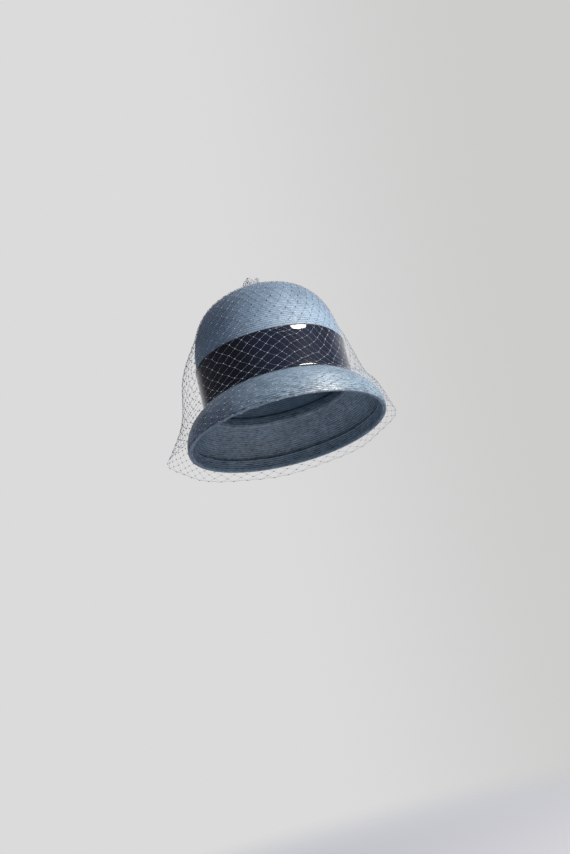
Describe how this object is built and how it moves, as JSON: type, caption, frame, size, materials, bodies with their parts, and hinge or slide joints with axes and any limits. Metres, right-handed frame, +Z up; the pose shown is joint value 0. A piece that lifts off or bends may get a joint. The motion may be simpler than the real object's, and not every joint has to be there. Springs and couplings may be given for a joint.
{
  "type": "bubble hat",
  "caption": "Woman's vintage bubble hat of sewn blue straw with a high round crown, narrow down-curled brim, glossy navy patent band and a short open net veil.",
  "frame": {"origin": "middle of the head opening, level with the crown's lower edge, where a head holds the hat", "axes": "+Z up along the crown's axis, -Y to the front of the hat, +X to the right as seen from the front"},
  "size_m": [0.2612, 0.2695, 0.2043],
  "materials": {
    "crown_straw": "fine sewn straw braid, dusty blue, soft sheen",
    "brim_straw": "fine sewn straw braid, dusty blue, soft sheen",
    "patent": "dark navy patent, mirror gloss",
    "net": "blue-grey diamond hat net, matte thread",
    "tuft_net": "blue-grey diamond hat net, gathered"
  },
  "bodies": {
    "root": {"crown": "crown_straw", "brim": "brim_straw", "hat_band": "patent", "veil": "net", "veil_tuft": "tuft_net"}
  },
  "joints": []
}
